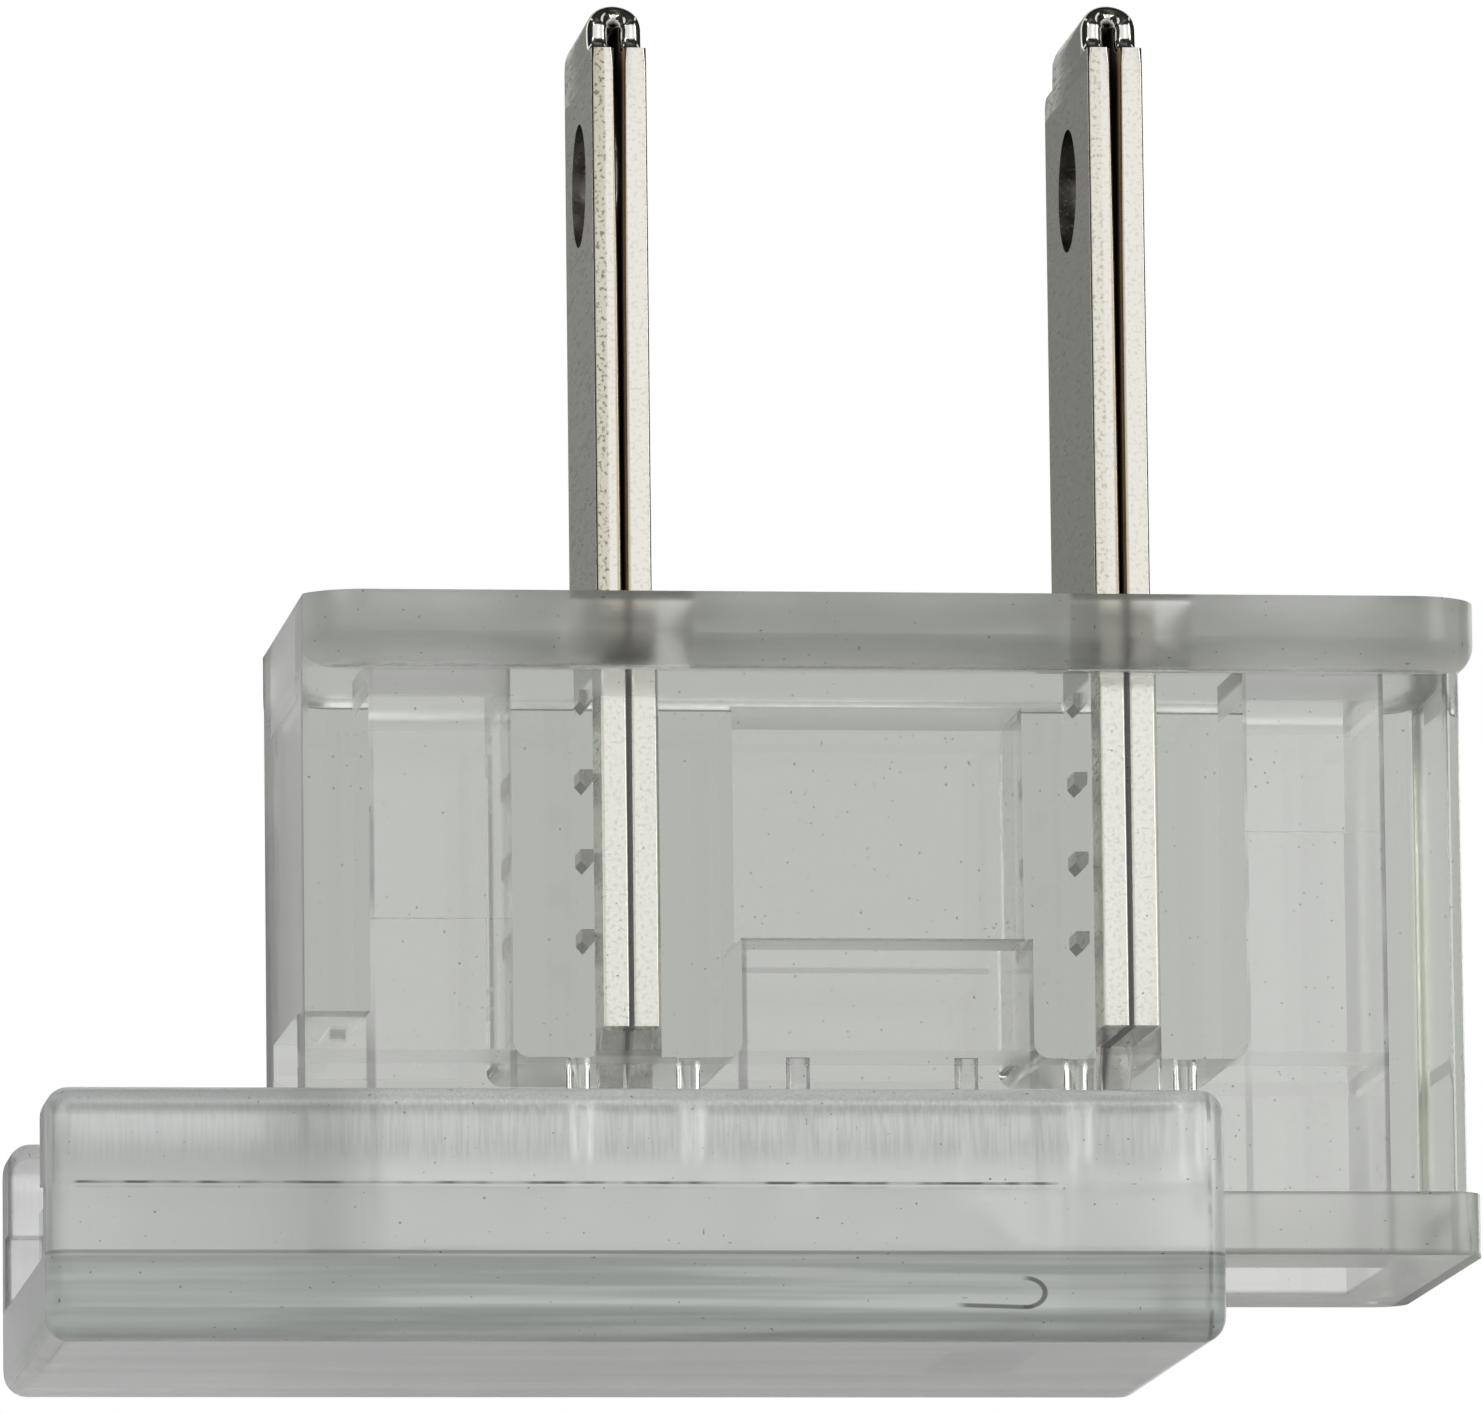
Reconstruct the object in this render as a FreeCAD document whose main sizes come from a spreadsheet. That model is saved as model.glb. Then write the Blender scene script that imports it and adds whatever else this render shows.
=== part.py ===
"""Slide-on type A plug for flat two-core cord: a clear body, two folded blades and a clear slide cover.

Millimetres. The origin is on the plug face, midway between the blades, with +Z along the blades.
The cord enters at the left end (-X) and the cover slides along X on two rails at the foot of the body.
"""

import FreeCAD, Part
import math
import os

import Sketcher

DIMENSIONS = {
    # Blades
    "blade_spacing": (12.7, "between the middle planes of the two blades"),
    "blade_thickness": (1.42, "over both leaves"),
    "leaf_thickness": (0.58, "strip that each blade is folded from"),
    "narrow_width": (6.35, "live blade"),
    "wide_width": (7.9, "neutral blade"),
    "blade_reach": (15.9, "plug face to blade tip"),
    "blade_root": (10.75, "plug face to the ends of the leaves"),
    "point_length": (1.45, "cord-piercing point below the ends of the leaves"),
    "point_width": (1.6, "foot of this point, across the blade"),
    "point_offset": (1.45, "middle of the cord to the core that a point meets"),
    "tip_radius": (1.1, "corners of the blade tip"),
    "shoulder_drop": (1.3, "tip of the wide blade to its shoulder"),
    "shoulder_notch": (1.45, "depth of the shoulder"),
    "shoulder_round": (0.35, "corner of the shoulder"),
    "hole_diameter": (3.18, "hole near the tip"),
    "hole_height": (11.5, "plug face to the middle of the hole"),
    "barb_height": (0.2, "how far a barb stands out of its leaf"),
    "barb_length": (0.7, "along the blade"),
    "barb_width": (2.0, "across the blade"),
    "barb_pitch": (2.05, "from barb to barb"),
    "barb_depth": (1.3, "plug face to the top of the first barb"),
    "slot_clearance": (0.03, "round a blade in its slot"),
    # Body
    "body_left": (14.8, "middle to the cord end"),
    "body_right": (14.8, "middle to the closed end"),
    "body_depth": (10.8, "front to back, between flange and rails"),
    "body_corner": (0.5, "upright edges of the closed end"),
    "flange_thickness": (1.85, "plug face to the underside of the flange"),
    "flange_depth": (13.0, "front to back"),
    "flange_overhang": (0.4, "past the closed end of the body"),
    "flange_corner": (1.8, "corners seen from above"),
    "flange_trim": (0.25, "cut from the flange to make it flush at the cord end"),
    "flange_round": (0.8, "lower edge of the flange"),
    "recess_width": (3.1, "shallow recess round a blade in the plug face, along the plug"),
    "recess_margin": (0.8, "this recess past the edges of its blade"),
    "recess_depth": (0.92, "plug face to the floor of this recess"),
    "rail_level": (15.2, "plug face to the upper side of the rails"),
    "rail_thickness": (1.6, "height of the rails"),
    "rail_depth": (13.0, "front to back over both rails"),
    "rail_overhang": (0.2, "past the closed end of the body"),
    "rail_corner": (0.9, "corners seen from above"),
    # Hollow of the body
    "end_wall": (1.8, "thickness of both ends"),
    "channel_width": (6.6, "cord channel, front to back"),
    "boss_outer": (3.03, "middle of a blade to the outer side of the block that holds it"),
    "narrow_boss_inner": (2.8, "middle of the narrow blade to the inner side of its block"),
    "wide_boss_inner": (2.45, "middle of the wide blade to the inner side of its block"),
    "boss_level": (11.55, "plug face to the lower side of these blocks"),
    "boss_round": (0.4, "lower corners of these blocks"),
    "end_roof": (1.4, "plug face to the roofs of the hollows at both ends"),
    "left_step_level": (7.2, "plug face to the step in the back wall at the cord end"),
    "right_step_level": (4.85, "plug face to the step in the back wall at the closed end"),
    "back_step": (0.25, "how far the back wall steps in at both ends"),
    "middle_roof": (2.35, "plug face to the roof of the hollow between the blades"),
    "ledge_level": (8.5, "plug face to the ledge on the front wall between the blades"),
    "ledge_depth": (2.4, "how far this ledge stands out of the front wall"),
    "entry_level": (10.4, "plug face to the top of the cord entry"),
    "rib_radius": (0.3, "half-round grip ribs"),
    "rib_offset": (2.15, "middle to the first rib on each side"),
    "rib_pitch": (2.8, "from rib to rib"),
    "rib_length": (4.0, "down from the blocks"),
    # Slide cover
    "cover_length": (29.7, "along the slide"),
    "cover_depth": (15.8, "front to back"),
    "cover_floor": (2.18, "below the groove"),
    "lip_height": (2.36, "lips that hook over the rails"),
    "cover_round": (0.8, "long outer edges"),
    "cover_end_round": (0.6, "edges of both ends"),
    "lead_in_length": (4.0, "wider groove at the leading end"),
    "lead_in": (0.32, "how much wider this groove is on each side"),
    "slide_clearance": (0.12, "above and below the rails"),
    "side_clearance": (0.15, "beside the rails and the body"),
    "pusher_width": (5.6, "ridge that presses the cord, front to back"),
    "pusher_height": (2.1, "ridge above the floor"),
    "pusher_ramp": (2.0, "slope at the leading end of the ridge"),
    "pusher_setback": (4.15, "leading end of the cover to the foot of the slope"),
    "open_travel": (6.7, "how far the cover is drawn out"),
}
BARBS_PER_BLADE = 4
RIBS_PER_SIDE = 3
MARGIN = 1.0  # how far a cut runs past the solid
NEAR = 1e-4
ROUND_SHARE = 0.48  # the most of a strip's or a wall's thickness that its rounding takes

doc = FreeCAD.newDocument("slide_on_plug")
sheet = doc.addObject("Spreadsheet::Sheet", "Sizes")
for row, (alias, (number, meaning)) in enumerate(DIMENSIONS.items(), start=1):
    sheet.set(f"A{row}", str(number))
    sheet.setAlias(f"A{row}", alias)
    sheet.set(f"B{row}", meaning)
doc.recompute()


class Size:
    """A length that carries its number and the formula that gives it from the sheet."""

    def __init__(self, number, formula):
        self.number = float(number)
        self.formula = formula

    def __neg__(self):
        return Size(-self.number, f"-({self.formula})")

    def __add__(self, other):
        other = as_size(other)
        return Size(self.number + other.number, f"({self.formula} + {other.formula})")

    def __sub__(self, other):
        other = as_size(other)
        return Size(self.number - other.number, f"({self.formula} - {other.formula})")

    def __mul__(self, factor):
        factor = as_size(factor)
        return Size(self.number * factor.number, f"({self.formula} * {factor.formula})")

    def __truediv__(self, factor):
        factor = as_size(factor)
        return Size(self.number / factor.number, f"({self.formula} / {factor.formula})")


def as_size(value):
    return value if isinstance(value, Size) else Size(value, f"({value})")


def size(alias):
    return Size(sheet.get(alias), f"Sizes.{alias}")


def smaller(first, second):
    """The smaller of two sizes, such as a rounding and the most that its wall can take."""
    return Size(min(first.number, second.number), f"min({first.formula}; {second.formula})")


ZERO = as_size(0)

# Levels below the plug face and places that several pieces share
body_bottom = size("rail_level") + size("rail_thickness")
cover_floor_top = body_bottom + size("slide_clearance")
cover_bottom = cover_floor_top + size("cover_floor")
lip_underside = size("rail_level") - size("slide_clearance")
blade_place = size("blade_spacing") / 2
slit_width = size("blade_thickness") - size("leaf_thickness") * 2
channel_left = -(size("body_left") - size("end_wall"))
channel_right = size("body_right") - size("end_wall")


def bind(thing, name, value):
    thing.setExpression(name, as_size(value).formula)


def sub_part(label, shift=None):
    """A new body, moved along X where its piece is a moving or a repeated one."""
    body = doc.addObject("PartDesign::Body", label)
    body.Label = label
    if shift:
        bind(body, "Placement.Base.x", shift)
    return body


def flat_sketch(body, name, plane, level):
    """An empty sketch on one of the body's own planes, moved along the normal of that plane."""
    sketch = body.newObject("Sketcher::SketchObject", name + "_sketch")
    support = next(f for f in body.Origin.OriginFeatures if f.Role == plane)
    sketch.AttachmentSupport = [(support, "")]
    sketch.MapMode = "FlatFace"
    bind(sketch, "AttachmentOffset.Base.z", level)
    return sketch


def measure(sketch, kind, geometry, value):
    """Adds a dimension that follows the sheet."""
    index = sketch.addConstraint(Sketcher.Constraint(kind, *geometry, value.number))
    bind(sketch, f"Constraints[{index}]", value)


def fix_point(sketch, line, end, across, up):
    """Holds a point of the sketch at its two coordinates."""
    for kind, axis, value in (("DistanceX", -2, across), ("DistanceY", -1, up)):
        if value is ZERO:
            sketch.addConstraint(Sketcher.Constraint("PointOnObject", line, end, axis))
        else:
            measure(sketch, kind, (line, end), value)


def corner_arc(before, corner, after, radius):
    """The arc that rounds a corner: its first and last point, its centre and whether it turns left."""
    back = (before - corner).normalize()
    ahead = (after - corner).normalize()
    half_angle = back.getAngle(ahead) / 2
    reach = radius / math.tan(half_angle)
    middle = (back + ahead).normalize()
    centre = corner + middle * (radius / math.sin(half_angle))
    return corner + back * reach, corner + ahead * reach, centre, back.cross(ahead).z < 0


def outline(sketch, corners):
    """Draws a closed loop through corners given as (across, up) or, where rounded, (across, up, radius)."""
    places = [FreeCAD.Vector(c[0].number, c[1].number, 0) for c in corners]
    count = len(corners)
    arcs = {}
    for i, corner in enumerate(corners):
        if len(corner) == 3:
            arcs[i] = corner_arc(places[i - 1], places[i], places[(i + 1) % count], corner[2].number)
    lines = []
    for i in range(count):
        j = (i + 1) % count
        start = arcs[i][1] if i in arcs else places[i]
        end = arcs[j][0] if j in arcs else places[j]
        lines.append(sketch.addGeometry(Part.LineSegment(start, end)))
    for i, corner in enumerate(corners):
        before, after = lines[i - 1], lines[i]
        if i not in arcs:
            sketch.addConstraint(Sketcher.Constraint("Coincident", before, 2, after, 1))
            fix_point(sketch, after, 1, corner[0], corner[1])
            continue
        first, last, centre, turns_left = arcs[i]
        if not turns_left:
            first, last = last, first
        angles = [math.atan2(p.y - centre.y, p.x - centre.x) for p in (first, last)]
        if angles[1] < angles[0]:
            angles[1] += 2 * math.pi
        circle = Part.Circle(centre, FreeCAD.Vector(0, 0, 1), corner[2].number)
        arc = sketch.addGeometry(Part.ArcOfCircle(circle, *angles))
        arrive, leave = (1, 2) if turns_left else (2, 1)
        sketch.addConstraint(Sketcher.Constraint("Tangent", before, 2, arc, arrive))
        sketch.addConstraint(Sketcher.Constraint("Tangent", arc, leave, after, 1))
        measure(sketch, "Radius", (arc,), corner[2])
        apex = sketch.addGeometry(Part.Point(places[i]), True)
        fix_point(sketch, apex, 1, corner[0], corner[1])
        sketch.addConstraint(Sketcher.Constraint("PointOnObject", apex, 1, before))
        sketch.addConstraint(Sketcher.Constraint("PointOnObject", apex, 1, after))


def rectangle(left, right, low, high, radius=None):
    """The corners of a rectangle, rounded by a radius where one is given."""
    corners = [(left, low), (right, low), (right, high), (left, high)]
    return [(*corner, radius) for corner in corners] if radius else corners


def circle(sketch, across, up, radius):
    centre = FreeCAD.Vector(across.number, up.number, 0)
    index = sketch.addGeometry(Part.Circle(centre, FreeCAD.Vector(0, 0, 1), radius.number))
    fix_point(sketch, index, 3, across, up)
    measure(sketch, "Radius", (index,), radius)


def feature(kind, body, name, plane, level, loops, length, both_ways=False):
    """A Pad or a Pocket of closed loops; a loop is a list of corners or a circle's (across, up, radius)."""
    sketch = flat_sketch(body, name, plane, level)
    for loop in loops:
        if isinstance(loop, list):
            outline(sketch, loop)
        else:
            circle(sketch, *loop)
    made = body.newObject(f"PartDesign::{kind}", name)
    made.Profile = sketch
    bind(made, "Length", length)
    made.SideType = "Symmetric" if both_ways else "One side"
    doc.recompute()
    return made


def fillet(body, name, base, radius, wanted):
    """Rounds the edges of a feature that pass a test on the places of their ends and middle."""
    names = []
    for number, edge in enumerate(base.Shape.Edges, start=1):
        first, last = edge.ParameterRange
        places = [edge.valueAt(first + (last - first) * share) for share in (0, 0.5, 1)]
        if all(wanted(place) for place in places):
            names.append(f"Edge{number}")
    made = body.newObject("PartDesign::Fillet", name)
    made.Base = (base, names)
    bind(made, "Radius", radius)
    doc.recompute()
    return made


def make_blade(label, place, width, core_side, notch=None):
    """A strip folded over at the tip, with a hole, barbs in the body and a point that pierces one core."""
    body = sub_part(label, place)
    half, slit = size("blade_thickness") / 2, slit_width / 2
    tip, leaf_end = size("blade_reach"), -size("blade_root")
    point_end = leaf_end - size("point_length")
    side = width / 2
    fold, inner_fold = size("blade_thickness") * ROUND_SHARE, slit_width * ROUND_SHARE
    slit_top = tip - size("leaf_thickness")
    section = [
        (-half, point_end), (-slit, point_end), (-slit, slit_top, inner_fold), (slit, slit_top, inner_fold),
        (slit, point_end), (half, point_end), (half, tip, fold), (-half, tip, fold),
    ]
    feature("Pad", body, "folded_strip", "XZ_Plane", ZERO, [section], width, True)

    corner, through = size("tip_radius"), size("blade_thickness") * 2
    below = tip - corner * 2
    back = side - notch if notch else side
    tip_cut = [
        (-side - MARGIN, tip + MARGIN), (-side - MARGIN, below), (-side, below),
        (-side, tip, corner), (back, tip, corner),
    ]
    if notch:
        shoulder = tip - size("shoulder_drop")
        tip_cut += [(back, shoulder), (side, shoulder, size("shoulder_round"))]
    tip_cut += [(side, below), (side + MARGIN, below), (side + MARGIN, tip + MARGIN)]
    feature("Pocket", body, "tip_outline", "YZ_Plane", ZERO, [tip_cut], through, True)

    hole = (ZERO, size("hole_height"), size("hole_diameter") / 2)
    feature("Pocket", body, "hole", "YZ_Plane", ZERO, [hole], through, True)

    core, half_point = size("point_offset") * core_side, size("point_width") / 2
    beside_point = [
        (-side - MARGIN, point_end - MARGIN), (-side - MARGIN, leaf_end), (core - half_point, leaf_end),
        (core, point_end), (core + half_point, leaf_end),
        (side + MARGIN, leaf_end), (side + MARGIN, point_end - MARGIN),
    ]
    feature("Pocket", body, "point", "YZ_Plane", ZERO, [beside_point], through, True)

    barbs = []
    for i in range(BARBS_PER_BLADE):
        top = -(size("barb_depth") + size("barb_pitch") * i)
        root = -half + size("leaf_thickness") / 2
        low = top - size("barb_length")
        barbs.append([(root, top), (-half - size("barb_height"), top), (-half, low), (root, low)])
    feature("Pad", body, "barbs", "XZ_Plane", ZERO, barbs, size("barb_width"), True)
    return body


def make_plug_body():
    """The clear moulding: flange, block and rails, hollowed from below round the cord channel."""
    body = sub_part("plug_body")
    left, right, half = -size("body_left"), size("body_right"), size("body_depth") / 2

    under_flange = -size("flange_thickness")
    flange_left, flange_right = left - size("flange_trim"), right + size("flange_overhang")
    flange_side = size("flange_depth") / 2
    plan = rectangle(flange_left, flange_right, -flange_side, flange_side, size("flange_corner"))
    flange = feature("Pad", body, "flange", "XY_Plane", under_flange, [plan], size("flange_thickness"))
    fillet(
        body, "flange_lower_edge", flange, size("flange_round"),
        lambda p: abs(p.z - under_flange.number) < NEAR,
    )
    trim = rectangle(flange_left - MARGIN, left, -flange_side - MARGIN, flange_side + MARGIN)
    trim_height = size("flange_thickness") + 2 * MARGIN
    feature("Pocket", body, "flush_end", "XY_Plane", as_size(MARGIN), [trim], trim_height)

    corner = size("body_corner")
    block = [(left, -half), (right, -half, corner), (right, half, corner), (left, half)]
    block_top = size("flange_thickness") / 2
    feature("Pad", body, "block", "XY_Plane", -body_bottom, [block], body_bottom - block_top)

    rail_side, rail_right = size("rail_depth") / 2, right + size("rail_overhang")
    corner = size("rail_corner")
    rails = [
        (left, -rail_side), (rail_right, -rail_side, corner),
        (rail_right, rail_side, corner), (left, rail_side),
    ]
    feature("Pad", body, "rails", "XY_Plane", -body_bottom, [rails], size("rail_thickness"))

    wall = size("channel_width") / 2
    outer = blade_place + size("boss_outer")
    left_inner, right_inner = size("narrow_boss_inner") - blade_place, blade_place - size("wide_boss_inner")

    def hollow(name, start, end, level, front=-wall, back=wall):
        """A hollow that is open below, from one place along the plug to another and from front to back."""
        plan = rectangle(start, end, front, back)
        return feature("Pocket", body, name, "XY_Plane", -level, [plan], body_bottom - level + MARGIN)

    hollow("cord_channel", channel_left, channel_right, size("boss_level"))
    hollow("cord_entry", left - MARGIN, channel_left, size("entry_level"))
    stepped_wall, ledge_edge = wall - size("back_step"), size("ledge_depth") - wall
    hollow("left_hollow", channel_left, -outer, size("left_step_level"))
    hollow("left_hollow_top", channel_left, -outer, size("end_roof"), back=stepped_wall)
    hollow("middle_hollow", left_inner, right_inner, size("ledge_level"))
    hollow("middle_hollow_top", left_inner, right_inner, size("middle_roof"), front=ledge_edge)
    hollow("right_hollow", outer, channel_right, size("right_step_level"))
    hollows = hollow("right_hollow_top", outer, channel_right, size("end_roof"), back=stepped_wall)
    fillet(
        body, "boss_corners", hollows, size("boss_round"),
        lambda p: abs(p.z + size("boss_level").number) < NEAR
        and any(abs(p.x - place.number) < NEAR for place in (-outer, left_inner, right_inner, outer)),
    )

    slots, recesses = [], []
    clearance, half_blade = size("slot_clearance"), size("blade_thickness") / 2
    half_recess = size("recess_width") / 2
    for middle, width in ((-blade_place, size("narrow_width")), (blade_place, size("wide_width"))):
        start = middle - half_blade - size("barb_height") - clearance
        side = width / 2 + clearance
        slots.append(rectangle(start, middle + half_blade + clearance, -side, side))
        side = width / 2 + size("recess_margin")
        recesses.append(rectangle(middle - half_recess, middle + half_recess, -side, side))
    feature("Pocket", body, "blade_slots", "XY_Plane", ZERO, slots, size("boss_level") + MARGIN)
    feature("Pocket", body, "blade_recesses", "XY_Plane", ZERO, recesses, size("recess_depth"))

    ribs = []
    for i in range(RIBS_PER_SIDE):
        place = size("rib_offset") + size("rib_pitch") * i
        ribs += [(-place, -wall, size("rib_radius")), (place, -wall, size("rib_radius"))]
    rib_foot = -(size("boss_level") + size("rib_length"))
    feature("Pad", body, "grip_ribs", "XY_Plane", rib_foot, ribs, size("rib_length"))
    return body


def make_slide_cover():
    """The clear moulding that hooks round the rails and presses the cord onto the points."""
    body = sub_part("slide_cover", -size("open_travel"))
    start, length = -size("body_left"), size("cover_length")
    side = size("cover_depth") / 2
    groove = size("rail_depth") / 2 + size("side_clearance")
    mouth = size("body_depth") / 2 + size("side_clearance")
    bottom, floor, underside = -cover_bottom, -cover_floor_top, -lip_underside
    top = underside + size("lip_height")
    edge = size("cover_round")
    end_edge = smaller(size("cover_end_round"), (side - groove) * ROUND_SHARE)
    section = [
        (-side, bottom, edge), (side, bottom, edge), (side, top, edge), (mouth, top),
        (mouth, underside), (groove, underside), (groove, floor), (-groove, floor),
        (-groove, underside), (-mouth, underside), (-mouth, top), (-side, top, edge),
    ]
    shell = feature("Pad", body, "channel", "YZ_Plane", start, [section], length)

    def outside(p):
        """On the outer skin of the section, not in the groove or the mouth."""
        return p.z < floor.number - NEAR or abs(p.y) > groove.number + NEAR or p.z > top.number - NEAR

    ends = (start.number, (start + length).number)
    fillet(
        body, "end_edges", shell, end_edge,
        lambda p: outside(p) and any(abs(p.x - end) < NEAR for end in ends),
    )

    flare = smaller(size("lead_in"), (side - groove) * ((1 - ROUND_SHARE) / 2))
    wide_mouth, wide_groove, above = mouth + flare, groove + flare, top + MARGIN
    lead_in = [
        (-wide_mouth, above), (-wide_mouth, underside), (-wide_groove, underside), (-wide_groove, floor),
        (wide_groove, floor), (wide_groove, underside), (wide_mouth, underside), (wide_mouth, above),
    ]
    feature("Pocket", body, "lead_in", "YZ_Plane", start + length, [lead_in], size("lead_in_length"))

    foot = start + length - size("pusher_setback")
    ridge_top = floor + size("pusher_height")
    root = floor - size("cover_floor") / 2
    tail = start + end_edge
    ramp_top = foot - size("pusher_ramp")
    ridge = [(tail, root), (foot, root), (foot, floor), (ramp_top, ridge_top), (tail, ridge_top)]
    feature("Pad", body, "pusher", "XZ_Plane", ZERO, [ridge], size("pusher_width"), True)
    return body


sub_parts = [
    make_plug_body(),
    make_blade("narrow_blade", -blade_place, size("narrow_width"), -1),
    make_blade("wide_blade", blade_place, size("wide_width"), 1, size("shoulder_notch")),
    make_slide_cover(),
]
doc.recompute()

for thing in doc.Objects:
    if {"Invalid", "Error"} & set(thing.State):
        raise RuntimeError(f"{thing.Name} failed: {thing.State}")
for body in sub_parts:
    if body.Shape.isNull() or not body.Shape.isValid() or len(body.Shape.Solids) != 1:
        raise RuntimeError(f"{body.Label} is not one valid solid")

os.makedirs("parts", exist_ok=True)
for body in sub_parts:
    body.Shape.exportStep(f"parts/{body.Label}.step")
    box = body.Shape.BoundBox
    print(f"{body.Label}: {body.Shape.Volume:.1f} mm3, X {box.XMin:.2f} to {box.XMax:.2f}, "
          f"Y {box.YMin:.2f} to {box.YMax:.2f}, Z {box.ZMin:.2f} to {box.ZMax:.2f}")
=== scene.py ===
# %% [markdown]
# # A slide-on plug of clear plastic
# The real thing is a block of clear plastic with two folded metal blades and a cover that slides along its
# foot. The solids come from the imported CAD model, at their real size and in metres, so nothing here moves or
# resizes them. This lesson gives them a camera, a studio, softer edges and finishes. The box of the solids is
# kept first; the floor and the studio are placed by it.

# %% Load the solids
import math

import bmesh
import bpy
import numpy as np
from mathutils import Matrix, Vector


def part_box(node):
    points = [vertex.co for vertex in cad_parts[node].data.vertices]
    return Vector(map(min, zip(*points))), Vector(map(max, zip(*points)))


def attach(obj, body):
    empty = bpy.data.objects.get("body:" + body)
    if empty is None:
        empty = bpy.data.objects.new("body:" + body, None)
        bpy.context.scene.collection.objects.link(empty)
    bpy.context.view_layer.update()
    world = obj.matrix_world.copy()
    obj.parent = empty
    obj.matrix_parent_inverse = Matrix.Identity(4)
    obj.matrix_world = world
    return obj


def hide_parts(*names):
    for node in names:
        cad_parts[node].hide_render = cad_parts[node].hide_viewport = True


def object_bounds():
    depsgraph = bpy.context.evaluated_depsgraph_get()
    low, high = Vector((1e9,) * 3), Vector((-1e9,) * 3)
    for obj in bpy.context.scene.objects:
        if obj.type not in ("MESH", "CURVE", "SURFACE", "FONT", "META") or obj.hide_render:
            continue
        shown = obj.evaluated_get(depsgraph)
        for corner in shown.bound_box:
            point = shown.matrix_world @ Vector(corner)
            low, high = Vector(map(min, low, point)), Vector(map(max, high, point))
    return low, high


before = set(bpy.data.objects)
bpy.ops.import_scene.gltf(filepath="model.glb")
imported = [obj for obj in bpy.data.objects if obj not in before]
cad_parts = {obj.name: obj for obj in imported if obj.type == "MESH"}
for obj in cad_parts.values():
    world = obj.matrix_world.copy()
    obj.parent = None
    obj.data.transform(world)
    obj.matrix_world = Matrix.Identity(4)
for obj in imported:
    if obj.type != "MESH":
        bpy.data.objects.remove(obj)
cad_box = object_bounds()
MM = 0.001
scene = bpy.context.scene
body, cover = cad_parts["plug_body"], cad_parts["slide_cover"]
body_low, body_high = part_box("plug_body")
cover_low, cover_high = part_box("slide_cover")
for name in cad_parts:
    low, high = (np.round(np.array(corner) / MM, 2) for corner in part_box(name))
    print(name, "from", low, "to", high, "mm")

# %% [markdown]
# ## The camera
# The photograph was taken with a long lens, a little from the left and from below, so parallel edges stay
# almost parallel. The angles were found by matching edges of the solids to the photograph. A camera could be
# aimed with a constraint, but its matrix is built here from three directions, which also takes the slight
# roll. A camera looks along its own -Z, so its third direction points back from the object.

# %% Camera
AZIMUTH, ELEVATION, ROLL = (math.radians(angle) for angle in (-6.986, -8.120, -0.650))
DISTANCE = 0.390245
AIM = Vector((-2.994, 0, -2.019)) * MM
PHOTO_WIDTH = 1483
FOCAL_PIXELS = 15213
SENSOR_MM = 36
VERTICAL = Vector((0, 0, 1))


def looking_from(azimuth, elevation):
    """The direction from the object to a viewer: azimuth turns to the right, and elevation lifts."""
    level = math.cos(elevation)
    return Vector((math.sin(azimuth) * level, -math.cos(azimuth) * level, math.sin(elevation)))


back = looking_from(AZIMUTH, ELEVATION)
right = (-back).cross(VERTICAL).normalized()
up = right.cross(-back)
rolled_right = right * math.cos(ROLL) + up * math.sin(ROLL)
rolled_up = up * math.cos(ROLL) - right * math.sin(ROLL)

camera = bpy.data.objects.new("camera", bpy.data.cameras.new("camera"))
scene.collection.objects.link(camera)
scene.camera = camera
camera.data.sensor_width = SENSOR_MM
camera.data.lens = SENSOR_MM * FOCAL_PIXELS / PHOTO_WIDTH
camera.data.clip_start, camera.data.clip_end = 0.01, 10
placed = Matrix((rolled_right, rolled_up, back)).transposed().to_4x4()
placed.translation = AIM + back * DISTANCE
camera.matrix_world = placed
print("camera with a lens of", round(camera.data.lens), "mm,", DISTANCE, "m away")

# %% [markdown]
# ## Shader arithmetic
# A finish is a small network of nodes. Wired by hand it soon becomes hard to read, so one class wraps an
# output socket and lets Python write the sums: adding two wires adds a Math node. Its node method makes any
# other node, and sets its options first because they decide which sockets the node has.

# %% Wires
class Wire:
    """An output socket in a node tree, or the tree alone; arithmetic on a wire adds Math nodes."""

    def __init__(self, tree, socket=None):
        self.tree = tree
        self.socket = socket

    def node(self, kind, settings=(), sockets=(), output=0):
        """Adds a node: its settings first, then the value or link of each socket, by name or number."""
        made = self.tree.nodes.new(kind)
        for name, value in dict(settings).items():
            setattr(made, name, value)
        for name, value in dict(sockets).items():
            there = [socket for socket in made.inputs if socket.enabled]
            target = there[name] if isinstance(name, int) else next(s for s in there if s.name == name)
            if isinstance(value, Wire):
                self.tree.links.new(value.socket, target)
            else:
                target.default_value = value
        return Wire(self.tree, made).also(output) if made.outputs else None

    def also(self, output):
        """Another output of the same node, by name or number."""
        made = self.socket if isinstance(self.socket, bpy.types.Node) else self.socket.node
        there = [socket for socket in made.outputs if socket.enabled]
        found = there[output] if isinstance(output, int) else next(s for s in there if s.name == output)
        return Wire(self.tree, found)

    def math(self, operation, *values):
        return self.node("ShaderNodeMath", {"operation": operation}, dict(enumerate(values)))

    def __add__(self, other):
        return self.math("ADD", self, other)

    def __sub__(self, other):
        return self.math("SUBTRACT", self, other)

    def __rsub__(self, other):
        return self.math("SUBTRACT", other, self)

    def __mul__(self, other):
        return self.math("MULTIPLY", self, other)

    def __abs__(self):
        return self.math("ABSOLUTE", self)

    __radd__ = __add__
    __rmul__ = __mul__


def new_finish(name):
    """An empty material, with the wire that makes its nodes."""
    material = bpy.data.materials.new(name)
    material.use_nodes = True
    material.node_tree.nodes.clear()
    return material, Wire(material.node_tree)


print("wires ready")

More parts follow.
